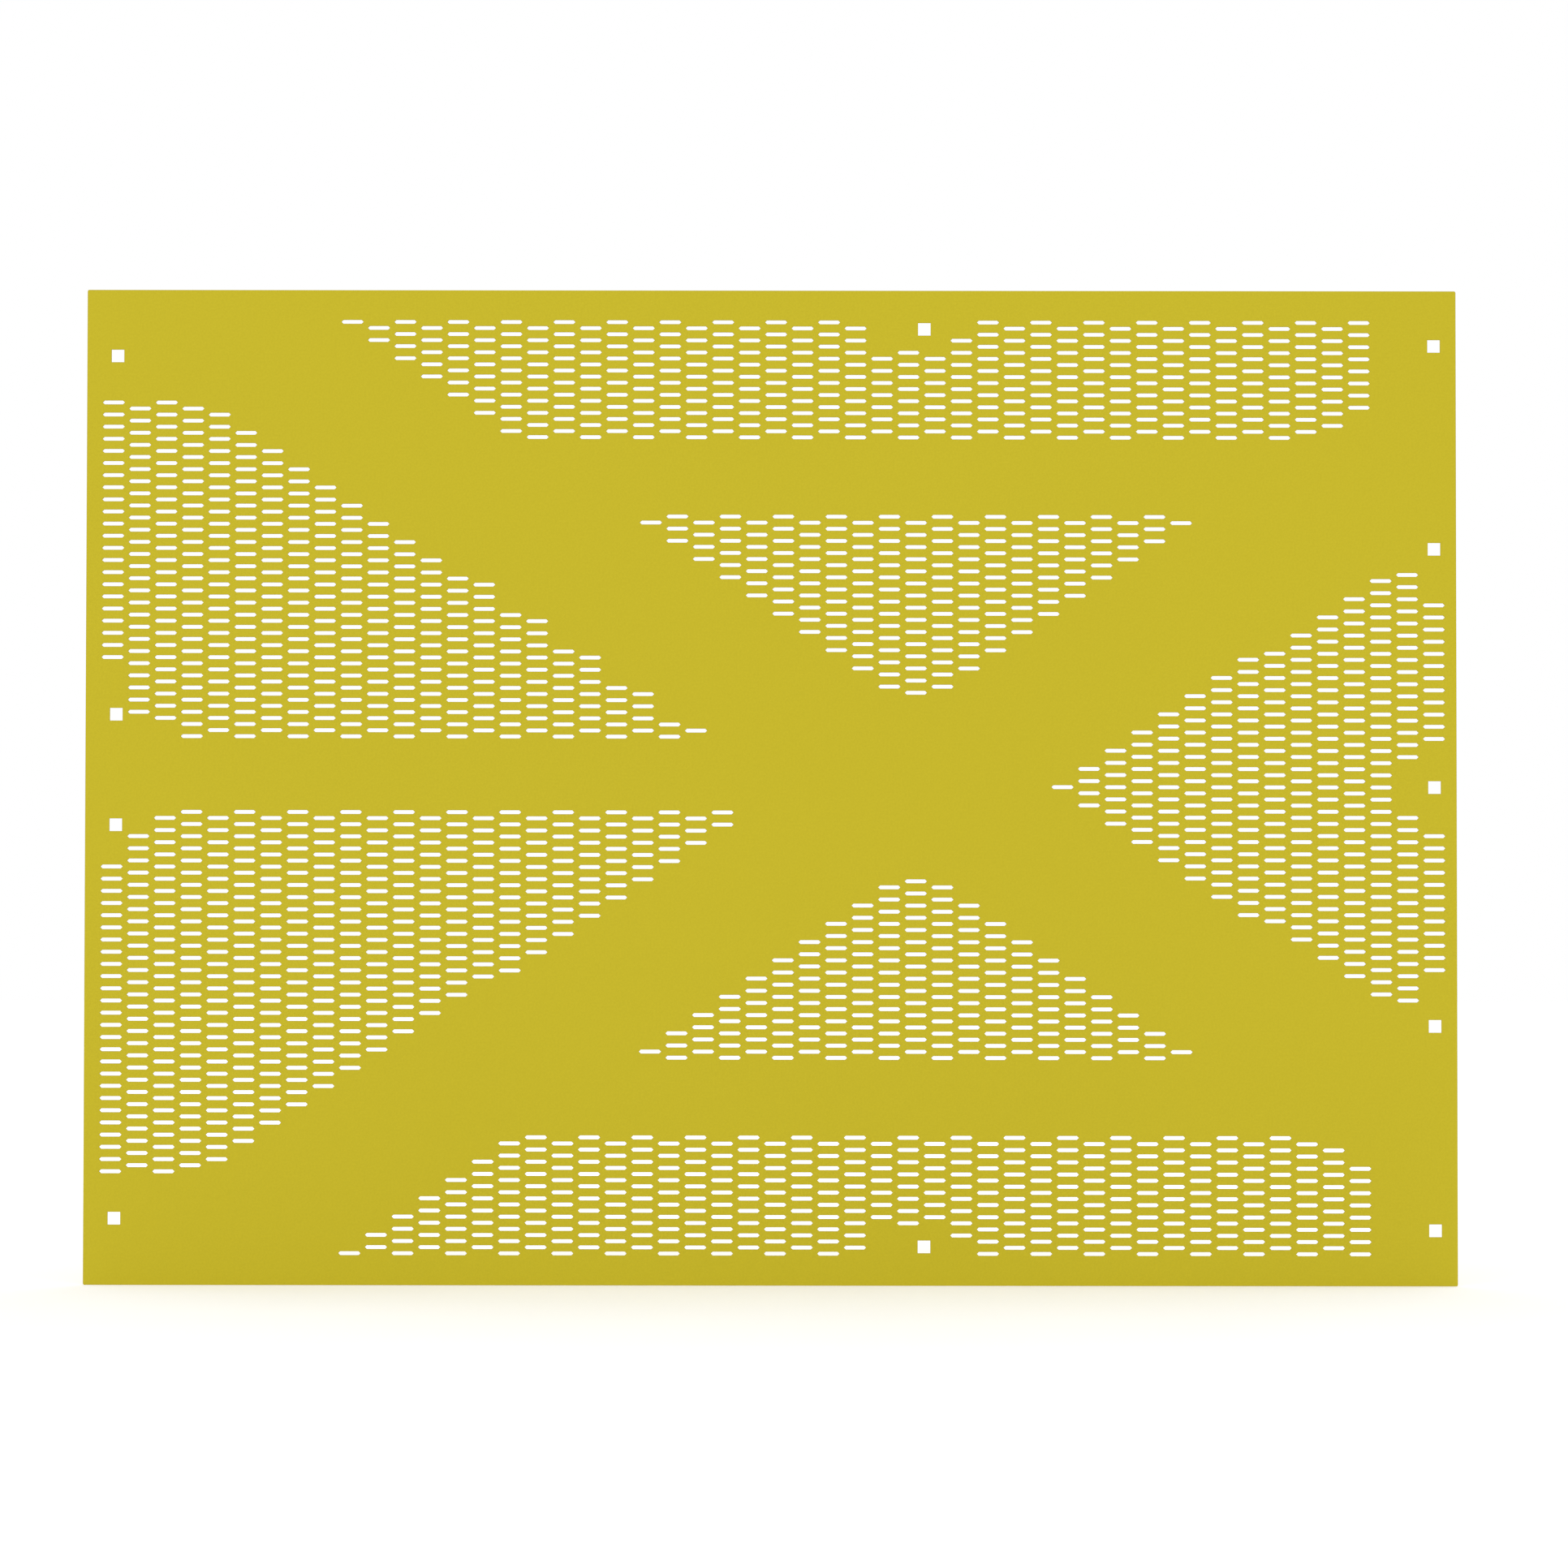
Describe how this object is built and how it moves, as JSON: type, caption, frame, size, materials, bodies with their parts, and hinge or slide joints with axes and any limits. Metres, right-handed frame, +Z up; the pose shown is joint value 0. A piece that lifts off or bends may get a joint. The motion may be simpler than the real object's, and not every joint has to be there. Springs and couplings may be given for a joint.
{
  "type": "perforated guard panel",
  "caption": "Flat perforated sheet metal guard panel, staggered ventilation slots between plain crossing bands, square fixing holes round the rim.",
  "frame": {"origin": "middle of the sheet's back face, which lies against the frame that carries it", "axes": "+X to the right as seen from the front, along the sheet's width; +Y out of the back face; +Z up, along the sheet's height"},
  "size_m": [1.24, 0.002, 0.9],
  "materials": {
    "yellow_paint": "semi-matt powder coat, mustard yellow"
  },
  "bodies": {
    "root": {"top_section": "yellow_paint", "upper_middle_section": "yellow_paint", "upper_left_section": "yellow_paint", "right_section": "yellow_paint", "lower_left_section": "yellow_paint", "lower_middle_section": "yellow_paint", "bottom_section": "yellow_paint"}
  },
  "joints": []
}
